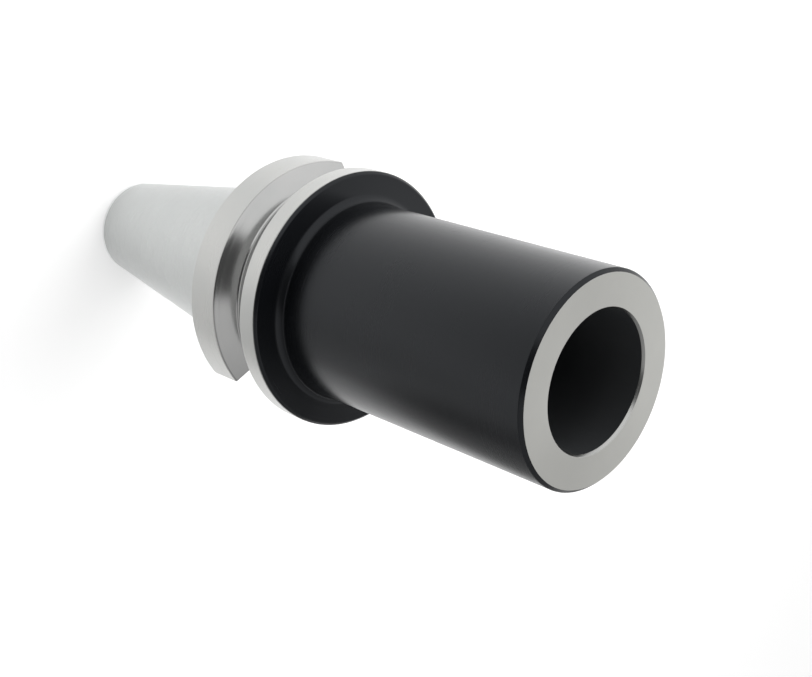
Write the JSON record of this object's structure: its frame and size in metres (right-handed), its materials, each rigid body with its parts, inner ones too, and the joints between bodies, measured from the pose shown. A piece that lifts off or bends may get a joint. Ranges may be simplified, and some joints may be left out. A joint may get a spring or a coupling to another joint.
{
  "type": "morse taper adapter holder",
  "caption": "Machine spindle tool holder: steep spindle taper, grooved flange with drive slots and a long nose with a Morse socket and captive draw screw.",
  "frame": {"origin": "centre of the gauge plane, where the spindle taper measures 44.45 mm", "axes": "+Z along the axis towards the nose, the drive slots on +X and -X"},
  "size_m": [0.063, 0.063, 0.1654],
  "materials": {
    "holder_steel": "ground bare on the taper, the flange rims and the nose face, satin blackened on the nose tube and the front face of the flange",
    "ring_steel": "satin, turned",
    "screw_steel": "satin blackened"
  },
  "bodies": {
    "holder": {"holder_body": "holder_steel", "retaining_ring": "ring_steel"},
    "draw_screw": {"draw_screw": "screw_steel"}
  },
  "joints": [
    {"name": "draw_screw_turn", "type": "hinge", "parent": "holder", "child": "draw_screw", "pos_m": [0, 0, -0.033], "axis": [0, 0, 1], "continuous": true}
  ]
}
